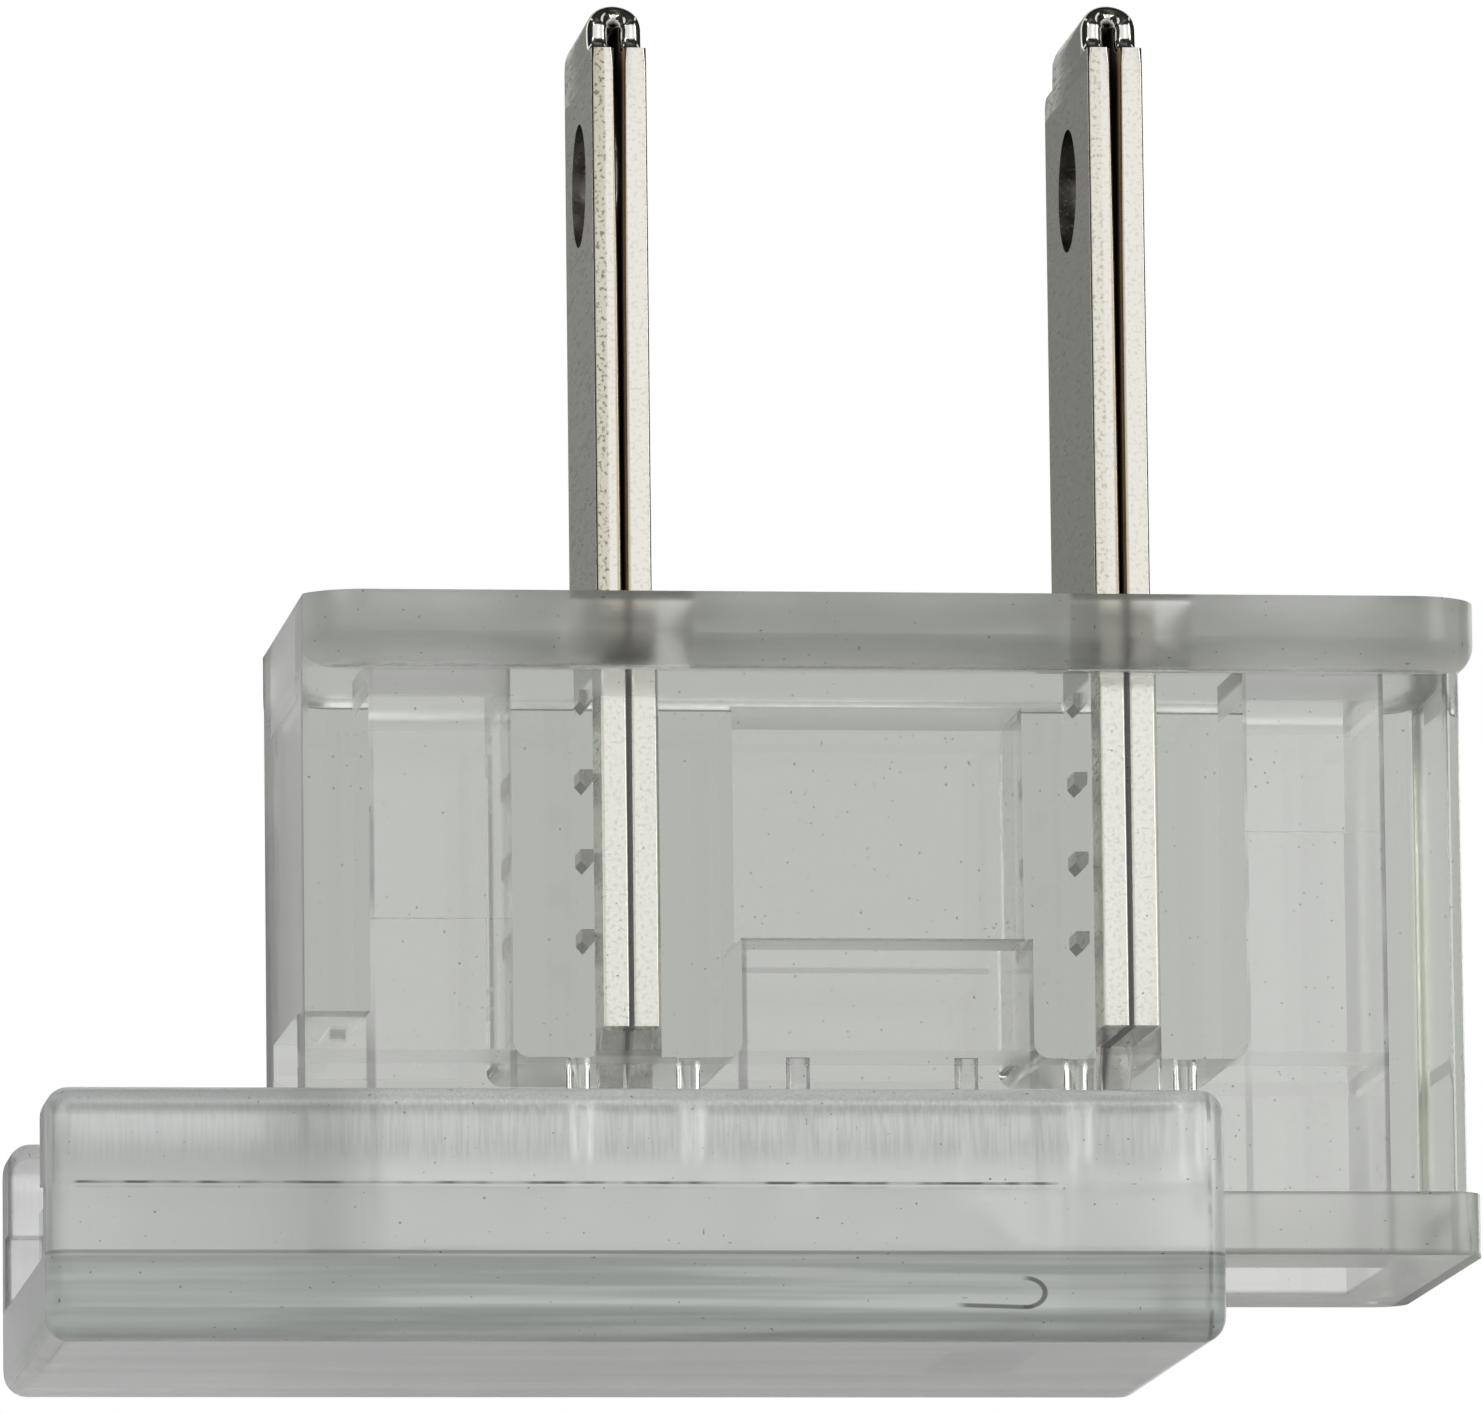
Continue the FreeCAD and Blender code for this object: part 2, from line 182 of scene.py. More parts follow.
# %% [markdown]
# ## The studio
# The object stands on a pale floor in soft light. The photograph looks from below the level of the floor, so
# only the upper side of the floor shows: from below it lets the view through. The world is plain white where
# the camera, a reflection or the clear plastic looks at it, and a softer grey where it only lights the scene,
# so that the background is white without more light falling on the object. In a reflection, and through the
# plastic, the floor is plain and pale too, without the narrow dark gap that the object stands over.

# %% Floor and world
SKY_LIGHT = 0.5
FLOOR_GAP = 0.3 * MM
FLOOR_SIZE = 1.6
FLOOR_COLOUR = (0.90, 0.90, 0.89, 1)
FLOOR_SEEN = 0.60
WHITE = (1, 1, 1, 1)


def flat_sheet(name, middle, side_a, side_b, finish):
    """A flat sheet of the stage: its middle plus half of each side, added or taken away."""
    signs = np.array([(-1, -1), (1, -1), (1, 1), (-1, 1)], float)
    points = np.array(middle) + signs @ np.array([side_a, side_b]) / 2
    mesh = bpy.data.meshes.new(name)
    mesh.from_pydata(points.tolist(), [], [(0, 1, 2, 3)])
    mesh.materials.append(finish)
    sheet = bpy.data.objects.new(name, mesh)
    scene.collection.objects.link(sheet)
    return sheet


def seen_through(tree):
    """1 for a ray that comes from a reflection or through clear plastic, else 0."""
    mirrored = tree.node("ShaderNodeLightPath", output="Is Glossy Ray")
    return mirrored.math("MAXIMUM", mirrored, mirrored.also("Is Transmission Ray"))


floor_finish, tree = new_finish("pale_floor")
lit_side = tree.node("ShaderNodeBsdfDiffuse", (), {"Color": FLOOR_COLOUR})
plain_side = tree.node("ShaderNodeEmission", (), {"Color": FLOOR_COLOUR, "Strength": FLOOR_SEEN})
upper_side = tree.node("ShaderNodeMixShader", (), {0: seen_through(tree), 1: lit_side, 2: plain_side})
lower_side = tree.node("ShaderNodeBsdfTransparent")
from_below = tree.node("ShaderNodeNewGeometry", output="Backfacing")
one_sided = tree.node("ShaderNodeMixShader", (), {0: from_below, 1: upper_side, 2: lower_side})
tree.node("ShaderNodeOutputMaterial", (), {"Surface": one_sided})
floor_level = cad_box[0].z - FLOOR_GAP
flat_sheet("floor", (0, 0, floor_level), (FLOOR_SIZE, 0, 0), (0, FLOOR_SIZE, 0), floor_finish)

world = bpy.data.worlds.new("white_studio")
scene.world = world
world.use_nodes = True
world.node_tree.nodes.clear()
tree = Wire(world.node_tree)
seen = tree.node("ShaderNodeLightPath", output="Is Camera Ray")
seen = seen.math("MAXIMUM", seen, seen_through(tree))
strength = SKY_LIGHT + (1 - SKY_LIGHT) * seen
sky = tree.node("ShaderNodeBackground", (), {"Color": WHITE, "Strength": strength})
tree.node("ShaderNodeOutputWorld", (), {"Surface": sky})
print("floor at", round(floor_level / MM, 2), "mm")

# %% [markdown]
# ## Lamps and dark cards
# Clear plastic and polished metal show only what is around them. In an all-white room they would almost
# vanish, so a photographer hangs dark cards just outside the picture: edges and round tips then mirror a dark
# line beside a bright one. The cards here are seen only in reflections, so they take no light from the scene.
# Large lamps give the soft light and the pale highlights.

# %% Lamps and cards
LAMPS = {  # azimuth, elevation, distance, width, height, power
    "window_lamp": (-38, 34, 0.75, 0.34, 0.34, 2.0),
    "fill_lamp": (52, 18, 0.80, 0.30, 0.45, 1.4),
    "top_lamp": (0, 62, 0.70, 0.40, 0.16, 1.2),
    "front_lamp": (8, 11, 0.80, 0.26, 0.24, 0.08),
    "left_rim_lamp": (-146, 6, 0.80, 0.10, 0.50, 0.3),
    "right_rim_lamp": (142, 6, 0.80, 0.10, 0.50, 0.25),
}
CARDS = {  # azimuth, elevation, distance, width, height, how light the card is
    "left_card": (-163, 8, 0.55, 0.28, 0.60, 0.36),
    "front_card": (0, 52, 0.60, 1.20, 0.62, 0.03),
    "left_side_card": (-82, 10, 0.60, 1.00, 0.90, 0.03),
    "right_side_card": (92, 10, 0.60, 1.00, 0.90, 0.03),
    "upper_card": (180, 78, 0.60, 0.80, 0.60, 0.03),
}
middle = (cad_box[0] + cad_box[1]) / 2


def facing(azimuth, elevation):
    """Directions of something that looks back at the object: across, up and away from the object."""
    away = looking_from(math.radians(azimuth), math.radians(elevation))
    across = VERTICAL.cross(away).normalized()
    return across, away.cross(across), away


for name, (azimuth, elevation, distance, width, height, power) in LAMPS.items():
    across, upward, away = facing(azimuth, elevation)
    light = bpy.data.lights.new(name, "AREA")
    light.shape, light.size, light.size_y, light.energy = "RECTANGLE", width, height, power
    lamp = bpy.data.objects.new(name, light)
    scene.collection.objects.link(lamp)
    stand = Matrix((across, upward, away)).transposed().to_4x4()
    stand.translation = middle + away * distance
    lamp.matrix_world = stand

for name, (azimuth, elevation, distance, width, height, lightness) in CARDS.items():
    finish, tree = new_finish(name)
    matt = tree.node("ShaderNodeBsdfDiffuse", (), {"Color": (lightness, lightness, lightness, 1)})
    tree.node("ShaderNodeOutputMaterial", (), {"Surface": matt})
    across, upward, away = facing(azimuth, elevation)
    card = flat_sheet(name, middle + away * distance, across * width, upward * height, finish)
    card.visible_camera = card.visible_diffuse = card.visible_transmission = card.visible_shadow = False
print(len(LAMPS), "lamps and", len(CARDS), "cards")

# %% [markdown]
# ## Softer edges
# No moulded edge is perfectly sharp: a narrow rounding catches the light and bends what is seen through clear
# plastic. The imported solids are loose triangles, so modifiers weld them, merge flat neighbours into whole
# faces, round every edge sharper than a limit and even out the shading. The cover is held by its lower edges,
# which are rounder, so the points of its underside go into a vertex group that is rounded first. Modifiers
# leave the solid itself as it is.

# %% Round the edges
EDGE_ROUNDING = {"plug_body": 0.10 * MM, "slide_cover": 0.22 * MM}
ROUNDING_STEPS = 3
FOOT_ROUNDING, FOOT_STEPS = 0.45 * MM, 5
SHARP_ANGLE = math.radians(30)
FLAT_ANGLE = math.radians(0.5)
WELD_REACH = 1e-7
LEVEL_REACH = 0.02 * MM


def soften_edges(solid, rounding):
    """Welds the triangles, merges flat ones, rounds the foot and then sharp edges, and evens the shading."""
    solid.modifiers.new("welded", "WELD").merge_threshold = WELD_REACH
    whole = solid.modifiers.new("whole_faces", "DECIMATE")
    whole.decimate_type, whole.angle_limit = "DISSOLVE", FLAT_ANGLE
    if "foot" in solid.vertex_groups:
        foot = solid.modifiers.new("rounded_foot", "BEVEL")
        foot.width, foot.segments = FOOT_ROUNDING, FOOT_STEPS
        foot.limit_method, foot.vertex_group = "VGROUP", "foot"
    rounded = solid.modifiers.new("rounded_edges", "BEVEL")
    rounded.width, rounded.segments = rounding, ROUNDING_STEPS
    rounded.limit_method, rounded.angle_limit = "ANGLE", SHARP_ANGLE
    solid.modifiers.new("even_shading", "WEIGHTED_NORMAL").keep_sharp = True


corners = np.empty(3 * len(cover.data.vertices))
cover.data.vertices.foreach_get("co", corners)
heights = corners.reshape(-1, 3)[:, 2]
at_foot = np.flatnonzero(heights < heights.min() + LEVEL_REACH)
cover.vertex_groups.new(name="foot").add(at_foot.tolist(), 1.0, "REPLACE")
for name, rounding in EDGE_ROUNDING.items():
    soften_edges(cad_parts[name], rounding)
    print(name, "edges rounded by", rounding / MM, "mm")

# %% [markdown]
# ## Folded blades: the strip
# Each blade is one strip of brass, folded over at the tip, so two leaves lie side by side with a narrow
# slit between them. The strip is necked at the fold, and its edges are rounded there by a press. A solid
# block with a groove would miss that round nose. So the strip is made as it is in the workshop: a section
# with rounded corners is carried up one leaf, round the fold and down the other leaf, and the section is
# as wide as the strip is at that level. The path comes first, with the outline of the flat strip.

# %% Path and outline of the strip
blade_low, blade_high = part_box("narrow_blade")
TIP, LEAF_END, POINT_END = blade_high.z, -10.75 * MM, blade_low.z
HALF_LEAF, SLIT_HALF = 0.29 * MM, 0.13 * MM
FOLD_RADIUS = SLIT_HALF + HALF_LEAF
HALF_BLADE = FOLD_RADIUS + HALF_LEAF
FOLD_LEVEL = TIP - HALF_BLADE
FOLD_STATIONS = 31
NECK_START = 14 * MM
NECK_LEVEL, NECK_DEPTH, NECK_FILLET = 14.55 * MM, 0.95 * MM, 0.45 * MM
NOSE_HEIGHT, NOSE_TAPER = 0.5 * MM, 0.3 * MM
TIP_RADIUS = 1.1 * MM
SHOULDER_LEVEL, SHOULDER_ROUND = 14.6 * MM, 0.35 * MM
POINT_OFFSET, POINT_HALF, POINT_BLUNTNESS = 1.45 * MM, 0.8 * MM, 0.02
HAIR = 1e-6
STRETCHES = [  # from, to, stations
    (POINT_END, LEAF_END, 8),
    (LEAF_END + HAIR, NECK_START, 20),
    (NECK_START + 0.03 * MM, NECK_LEVEL, 16),
    (NECK_LEVEL + HAIR, SHOULDER_LEVEL, 3),
    (SHOULDER_LEVEL + HAIR, FOLD_LEVEL, 14),
]


def strip_path():
    """Up one leaf, half a turn round the fold and down the other leaf: the middle of the strip (x, z), its
    outward direction (x, z), and the level of its outer side."""
    levels = np.concatenate([np.linspace(*stretch) for stretch in STRETCHES])
    half_turn = np.linspace(0, np.pi, FOLD_STATIONS + 2)[1:-1]
    turn = np.concatenate([levels * 0, half_turn, levels * 0 + np.pi])
    height = np.concatenate([levels, np.full(FOLD_STATIONS, FOLD_LEVEL), levels[::-1]])
    outward = np.stack([-np.cos(turn), np.sin(turn)], 1)
    outward[np.abs(outward) < 1e-12] = 0
    middle = outward * FOLD_RADIUS + np.stack([height * 0, height], 1)
    return middle, outward, height + np.sin(turn) * HALF_BLADE


def round_corner(level, end, radius):
    """How far a round corner draws an edge in at a level: r (1 - sqrt(1 - t t)), with t from 0 to 1."""
    share = np.clip((level - end + radius) / radius, 0, 1)
    return radius * (1 - np.sqrt(1 - share ** 2))


def strip_outline(level, width, core_side, notch):
    """Front and back edge of the strip at a level: straight leaves, a neck cut back in front with a hollow
    quarter circle, a round corner and perhaps a shoulder behind, and a point that narrows evenly below."""
    rise = np.clip((level - NECK_LEVEL) / NECK_FILLET, 0, 1)
    neck = NECK_DEPTH - NECK_FILLET * (1 - np.sqrt(1 - (1 - rise) ** 2))
    top = np.clip((level - TIP + NOSE_HEIGHT) / NOSE_HEIGHT, 0, 1)
    front = -width / 2 + np.where(level > NECK_LEVEL, neck + NOSE_TAPER * top ** 2, 0)
    back = width / 2 - round_corner(level, TIP, TIP_RADIUS)
    if notch:
        edge = round_corner(level, SHOULDER_LEVEL, SHOULDER_ROUND)
        back = back - np.where(level > SHOULDER_LEVEL, notch, edge)
    share = np.clip((level - POINT_END) / (LEAF_END - POINT_END), POINT_BLUNTNESS, 1)
    in_point = level <= LEAF_END
    front = np.where(in_point, POINT_OFFSET * core_side - POINT_HALF * share, front)
    return front, np.where(in_point, POINT_OFFSET * core_side + POINT_HALF * share, back)


print("strip folded at", round(FOLD_LEVEL / MM, 2), "mm, with", len(strip_path()[2]), "stations")

# %% [markdown]
# ## Folded blades: the section
# A rounded rectangle is carried along the path, all stations at once, and neighbouring stations are joined by
# quads. The leaves are pressed together a little more towards the plug, so the slit narrows from the tip to
# the foot, and the section is thicker on its slit side there.

# %% Section carried along the path
BACK_ROUNDING = 0.07 * MM
WIDEST_ROUNDING = 0.45
CORNER_STEPS = 6
ROUNDING_LEVELS = np.array((14.1, 14.55, 14.56, 15.2)) * MM
FRONT_ROUNDINGS = np.array((0.07, 0.13, 0.22, 0.26)) * MM
CLOSING_LEVELS = np.array((-8, 2, 9, 14)) * MM
CLOSINGS = np.array((0.075, 0.06, 0.045, 0)) * MM


def carried_section(middle, outward, level, front, back):
    """A rectangle with round corners at every station: along outward it reaches half a leaf both ways, and a
    little more towards the slit, and across it reaches from the front edge to the back edge."""
    rounding = np.interp(level, ROUNDING_LEVELS, FRONT_ROUNDINGS)
    closing = np.interp(level, CLOSING_LEVELS, CLOSINGS)
    rounding = np.minimum(rounding, (back - front) * WIDEST_ROUNDING)[:, None]
    quarters = [np.linspace(start, start + 90, CORNER_STEPS) for start in (-90, 0, 90, 180)]
    angle = np.radians(np.concatenate(quarters))[None]
    side_out = np.repeat([1, 1, -1, -1], CORNER_STEPS)[None]
    side_back = np.repeat([0, 1, 1, 0], CORNER_STEPS)[None]
    rounding = np.where(side_back, np.minimum(rounding, BACK_ROUNDING), rounding)
    reach = HALF_LEAF + np.where(side_out < 0, closing[:, None], 0)
    out = side_out * (reach - rounding) + rounding * np.cos(angle)
    across = (front[:, None] + rounding) * (1 - side_back) + (back[:, None] - rounding) * side_back
    across = across + rounding * np.sin(angle)
    x = middle[:, :1] + outward[:, :1] * out
    z = middle[:, 1:] + outward[:, 1:] * out
    return np.stack([x, across, z], 2)


def skinned(grid):
    """Points and faces of a closed tube: quads between neighbouring sections and a cap at each end."""
    stations, around = grid.shape[:2]
    index = np.arange(stations * around).reshape(stations, around)
    beside = np.roll(index, -1, 1)
    quads = np.stack([index[:-1], beside[:-1], beside[1:], index[1:]], 2).reshape(-1, 4)
    return grid.reshape(-1, 3), quads.tolist() + [index[0].tolist(), index[-1].tolist()]


def mesh_from(name, points, faces):
    """A mesh of these points and faces, turned so that all faces point outwards."""
    mesh = bpy.data.meshes.new(name)
    mesh.from_pydata(np.asarray(points).tolist(), [], faces)
    shell = bmesh.new()
    shell.from_mesh(mesh)
    bmesh.ops.recalc_face_normals(shell, faces=shell.faces)
    shell.to_mesh(mesh)
    shell.free()
    return mesh


print("section with", 4 * CORNER_STEPS, "points")

# %% [markdown]
# ## Folded blades: hole and barbs
# The hole is punched through both leaves, so a boolean cuts it through the finished strip. The barbs on the
# left leaf bite into the plastic and hold the blade: they are small wedges that share the strip's mesh. Each
# blade then takes the place of its plain solid and rides on the plug.

# %% Blades
HOLE_LEVEL, HOLE_RADIUS, HOLE_STEPS = 11.5 * MM, 1.59 * MM, 96
DRILL_REACH = 2 * MM
BARBS, BARB_START, BARB_PITCH, BARB_HALF_WIDTH = 4, -1.95 * MM, 2.05 * MM, 1 * MM
BARB_WEDGE = np.array([(0.29, 0), (-0.40, 0), (-0.40, -0.30), (0, -0.75), (0.29, -0.75)]) * MM
STRIP_SOFTENING, STRIP_SOFTENING_STEPS = 0.04 * MM, 2
STRIP_SHARP_ANGLE = math.radians(34)
BLADES = {  # node: side of the plug and of its core, depth of its shoulder
    "narrow_blade": (-1, 0),
    "wide_blade": (1, 1.45 * MM),
}
BLADE_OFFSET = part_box("wide_blade")[1].x - HALF_BLADE


def drilled(mesh, x):
    """The mesh with a round hole along X cut through it by a boolean with a drill that is then put away."""
    turn = np.linspace(0, 2 * np.pi, HOLE_STEPS + 1)[:-1]
    ring = np.stack([turn * 0, HOLE_RADIUS * np.cos(turn), HOLE_LEVEL + HOLE_RADIUS * np.sin(turn)], 1)
    drill_grid = np.stack([ring + (x - DRILL_REACH, 0, 0), ring + (x + DRILL_REACH, 0, 0)])
    drill = bpy.data.objects.new("drill", mesh_from("drill", *skinned(drill_grid)))
    blank = bpy.data.objects.new("blank", mesh)
    cut = blank.modifiers.new("hole", "BOOLEAN")
    cut.object, cut.solver = drill, "EXACT"
    for item in (drill, blank):
        scene.collection.objects.link(item)
    done = bpy.data.meshes.new_from_object(blank.evaluated_get(bpy.context.evaluated_depsgraph_get()))
    for item in (drill, blank):
        bpy.data.objects.remove(item)
    return done


def barbed(mesh, x):
    """The mesh with a row of wedges added on its left side, each a flat outline carried across the blade."""
    shell = bmesh.new()
    shell.from_mesh(mesh)
    for step in range(BARBS):
        wedge = BARB_WEDGE + (x - HALF_BLADE, BARB_START - BARB_PITCH * step)
        ends = [np.insert(wedge, 1, reach, axis=1) for reach in (-BARB_HALF_WIDTH, BARB_HALF_WIDTH)]
        shell.from_mesh(mesh_from("barb", *skinned(np.stack(ends))))
    shell.to_mesh(mesh)
    shell.free()


def folded_blade(name, x, width, core_side, notch):
    """A blade around x: the strip with its hole and barbs, with softened edges."""
    middle, outward, level = strip_path()
    front, back = strip_outline(level, width, core_side, notch)
    grid = carried_section(middle + (x, 0), outward, level, front, back)
    mesh = drilled(mesh_from(name, *skinned(grid)), x)
    barbed(mesh, x)
    mesh.shade_smooth()
    mesh.set_sharp_from_angle(angle=STRIP_SHARP_ANGLE)
    blade = bpy.data.objects.new(name, mesh)
    scene.collection.objects.link(blade)
    softened = blade.modifiers.new("softened_edges", "BEVEL")
    softened.width, softened.segments = STRIP_SOFTENING, STRIP_SOFTENING_STEPS
    softened.limit_method, softened.angle_limit = "ANGLE", STRIP_SHARP_ANGLE
    blade.modifiers.new("even_shading", "WEIGHTED_NORMAL").keep_sharp = True
    return blade


strips = {}
for node, (side, notch) in BLADES.items():
    low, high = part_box(node)
    strips[node] = folded_blade(node + "_strip", side * BLADE_OFFSET, high.y - low.y, side, notch)
    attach(strips[node], "plug")
    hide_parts(node)
    print(strips[node].name, "with", len(strips[node].data.vertices), "points")

# %% [markdown]
# ## Masks
# A finish differs from place to place, and a mask says where: it is 1 in one region, 0 elsewhere and smooth
# between. A picture wrapped round the piece could do this too, but it would need an unwrapped surface and
# would blur in close views. Masks worked out from the place of a point stay sharp at any distance.

# %% Masks
def object_place(tree):
    """Where a point of the piece is, in metres, as a vector wire."""
    return tree.node("ShaderNodeTexCoord", output="Object")


def axes_of(place):
    """The three coordinates of a place, as wires."""
    x = place.node("ShaderNodeSeparateXYZ", (), {0: place}, "X")
    return x, x.also("Y"), x.also("Z")


def noise(place, scale, detail):
    return place.node("ShaderNodeTexNoise", (), {"Vector": place, "Scale": scale, "Detail": detail}, "Fac")


def stretched(place, scale):
    """The place measured in longer units along each axis, so that a pattern on it is drawn out."""
    return place.node("ShaderNodeMapping", {"vector_type": "TEXTURE"}, {"Vector": place, "Scale": scale})


def step_up(value, low, high):
    """0 below low, 1 above high and a smooth step between."""
    return value.node("ShaderNodeMapRange", {"interpolation_type": "SMOOTHSTEP"}, {
        "Value": value, "From Min": low, "From Max": high,
    })


def above(value, level, soft):
    """1 above a level and 0 below it, with a soft border."""
    return step_up(value, level - soft, level + soft)


def below(value, level, soft):
    """1 below a level and 0 above it, with a soft border."""
    return 1 - above(value, level, soft)


def between(value, low, high, soft):
    """1 between two levels and 0 outside, with soft borders."""
    return above(value, low, soft) * below(value, high, soft)


def band(value, centre, reach):
    """1 where a value is near a centre, falling to 0 at a reach from it."""
    return 1 - step_up(abs(value - centre), reach * 0.5, reach)


def mix_colour(share, first, second):
    return share.node("ShaderNodeMix", {"data_type": "RGBA"}, {"Factor": share, "A": first, "B": second})


print("masks ready")

# %% [markdown]
# ## Plated strip
# The strip is plated and bright. Outside the plug its sides are darker grey, as painted shade that stands in
# for a dim reflection, and they are speckled by wear. Shearing has torn part of the front edge, the slit
# between the leaves is tarnished brown at its mouth and painted black deeper in as painted shade, and the
# pressed nose is still polished. One even metal would look like a rendering, so each of these gets a mask and
# a colour, and the colours are laid over each other in the order in which the real wear came about.

# %% Plated strip
BRIGHT = (0.93, 0.915, 0.86, 1)
EDGE = (0.61, 0.595, 0.545, 1)
NOSE = (0.72, 0.71, 0.67, 1)
TORN = (0.24, 0.22, 0.165, 1)
STAINED = (0.33, 0.30, 0.20, 1)
# Painted shade: near-black for the depth of the narrow slit.
SLIT_SHADE = (0.010, 0.006, 0.003, 1)
FRINGE = (0.33, 0.25, 0.13, 1)
GOLDEN = (0.26, 0.17, 0.075, 1)
HOLE_BROWN = (0.66, 0.56, 0.43, 1)
BARB_GREY = (0.33, 0.33, 0.31, 1)
POINT_GREY = (0.80, 0.79, 0.74, 1)
GRAZING_TINT = (0.85, 0.86, 0.82, 1)
GRAIN_STRETCH, GRAIN_SCALE = (1, 7, 1), 9000
GRAIN_HEIGHT, GRAIN_STRENGTH = 0.012 * MM, 0.2
# The colour of each blade's sides outside the plug is painted shade: darker, to stand in for a dim reflection.
SIDE_SHADE_AND_TEAR = {  # node: colour of its worn sides, how torn its front edge is
    "narrow_blade": ((0.54, 0.525, 0.475, 1), 1.0),
    "wide_blade": ((0.40, 0.39, 0.35, 1), 0.3),
}


def plated_strip(name, middle, width, side_shade, torn):
    """Plating on one blade: bright in the plug, darker outside as painted shade with speckled wear, torn at
    one edge, and tarnished at the mouth of the slit with painted shade deeper in.
    """
    material, tree = new_finish(name)
    place = object_place(tree)
    x, y, z = axes_of(place)
    off_middle = x - middle
    depth = y + width / 2
    outside = above(z, -0.5 * MM, 1 * MM)
    nose = above(z, NECK_LEVEL + 0.01 * MM, 0.03 * MM) * between(depth, 0.15 * MM, 1.30 * MM, 0.05 * MM)
    nose = nose.math("MAXIMUM", nose, above(z, TIP - 0.35 * MM, 0.05 * MM))
    on_edge = below(depth, 0.07 * MM, 0.03 * MM) * (1 - nose)
    in_slit = below(abs(off_middle), SLIT_HALF + 0.005 * MM, 0.005 * MM) * above(depth, 0.07 * MM, 0.02 * MM)
    in_slit = in_slit * below(z, TIP - 0.585 * MM, 0.035 * MM)
    fringe = below(abs(off_middle), 0.175 * MM, 0.025 * MM) * on_edge * outside
    from_hole = (y * y + (z - HOLE_LEVEL) * (z - HOLE_LEVEL)).math("SQRT")
    in_hole = below(from_hole, HOLE_RADIUS + 0.03 * MM, 0.02 * MM)
    grain = noise(stretched(place, GRAIN_STRETCH), GRAIN_SCALE, 2)
    ragged = 0.80 + 0.20 * above(z, HOLE_LEVEL, 2 * MM)
    on_tear = on_edge * outside * below(off_middle, -0.38 * MM, 0.04 * MM) * torn * ragged
    speckled = step_up(grain, 0.50, 0.68) * (0.60 - 0.45 * on_edge + on_tear) * (1 - nose)

    # Outside the plug the sides take the darker painted shade, and the front edges take the edge colour.
    colour = mix_colour(outside, BRIGHT, mix_colour(on_edge, side_shade, EDGE))
    colour = mix_colour(0.6 * on_tear, colour, STAINED)
    colour = mix_colour(nose, colour, NOSE)
    colour = mix_colour(speckled, colour, TORN)
    colour = mix_colour(0.6 * fringe, colour, FRINGE)
    colour = mix_colour(in_hole, colour, HOLE_BROWN)
    # Near the front the slit walls are golden tarnish; deeper in they are painted black, as painted shade in
    # the narrow slit.
    slit_tarnish_and_shade = mix_colour(above(depth, 0.5 * MM, 0.4 * MM), GOLDEN, SLIT_SHADE)
    colour = mix_colour(in_slit, colour, slit_tarnish_and_shade)
    colour = mix_colour(below(off_middle, -HALF_BLADE - 0.0175 * MM, 0.0075 * MM), colour, BARB_GREY)
    colour = mix_colour(below(z, LEAF_END - 0.025 * MM, 0.025 * MM), colour, POINT_GREY)
    roughness = 0.18 + 0.16 * speckled + 0.8 * in_slit + 0.42 * in_hole - 0.08 * nose
    bump = tree.node("ShaderNodeBump", (), {
        "Strength": GRAIN_STRENGTH, "Distance": GRAIN_HEIGHT, "Height": grain,
    })
    surface = tree.node("ShaderNodeBsdfPrincipled", (), {
        "Base Color": colour, "Metallic": 1 - in_slit, "Roughness": roughness, "Normal": bump,
        "Specular Tint": GRAZING_TINT,
    })
    tree.node("ShaderNodeOutputMaterial", (), {"Surface": surface})
    return material


for node, (side_shade, torn) in SIDE_SHADE_AND_TEAR.items():
    low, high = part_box(node)
    plating = plated_strip(node + "_plating", BLADES[node][0] * BLADE_OFFSET, high.y - low.y, side_shade, torn)
    strips[node].data.materials.clear()
    strips[node].data.materials.append(plating)
    print(strips[node].name, "plated with", len(plating.node_tree.nodes), "nodes")

# %% [markdown]
# ## Clear plastics
# Both mouldings are clear. Grey paint would be wrong from every other side, so the plastic gets what the
# real one has: a surface that bends and mirrors light, and a faint absorption inside. The outer skin is tinted
# grey, most of all at the back, as painted shade for darker surroundings seen through the plastic, while the
# hollows, and what the cover shields, are left clear.
# The skin of each moulding is a function that gives its colour, its roughness and perhaps a fine relief.

# %% Clear plastics
CLEAR_INDEX = 1.5
RELIEF_HEIGHT, RELIEF_STRENGTH = 0.02 * MM, 0.08
# Dark colour of the dust specks and of the dark lines along corners and seams.
DARK_MARKS = (0.05, 0.05, 0.045, 1)
FLECK_LEVEL = 0.81


def clear_plastic(name, skin, clearness, absorption, density):
    """A clear moulding: a skin that gives its colour, roughness and relief, and absorption inside."""
    material, tree = new_finish(name)
    colour, roughness, relief = skin(object_place(tree))
    sockets = {"Base Color": colour, "Roughness": roughness}
    sockets |= {"IOR": CLEAR_INDEX, "Transmission Weight": clearness}
    if relief is not None:
        sockets["Normal"] = tree.node("ShaderNodeBump", (), {
            "Strength": RELIEF_STRENGTH, "Distance": RELIEF_HEIGHT, "Height": relief,
        })
    surface = tree.node("ShaderNodeBsdfPrincipled", (), sockets)
    inside = tree.node("ShaderNodeVolumeAbsorption", (), {"Color": absorption, "Density": density})
    tree.node("ShaderNodeOutputMaterial", (), {"Surface": surface, "Volume": inside})
    print(name, "with", len(material.node_tree.nodes), "nodes")
    return material


def greyed(front, behind, front_grey, back_grey):
    """The tint of a clear skin, greyed by a share in front and a share behind as painted shade for darker
    surroundings.
    """
    return mix_colour(behind, mix_colour(front, WHITE, front_grey), back_grey)


def flecks(place, scale):
    """Small spots: 1 where a fine noise rises over a level."""
    return step_up(noise(place, scale, 0), FLECK_LEVEL, FLECK_LEVEL + 0.04)


def marked_dark(specks_and_lines, tint):
    """A tint with a share of dark specks and lines over it, at most the whole."""
    return mix_colour(specks_and_lines.math("MINIMUM", specks_and_lines, 1), tint, DARK_MARKS)


print("clear plastic bends light by", CLEAR_INDEX)
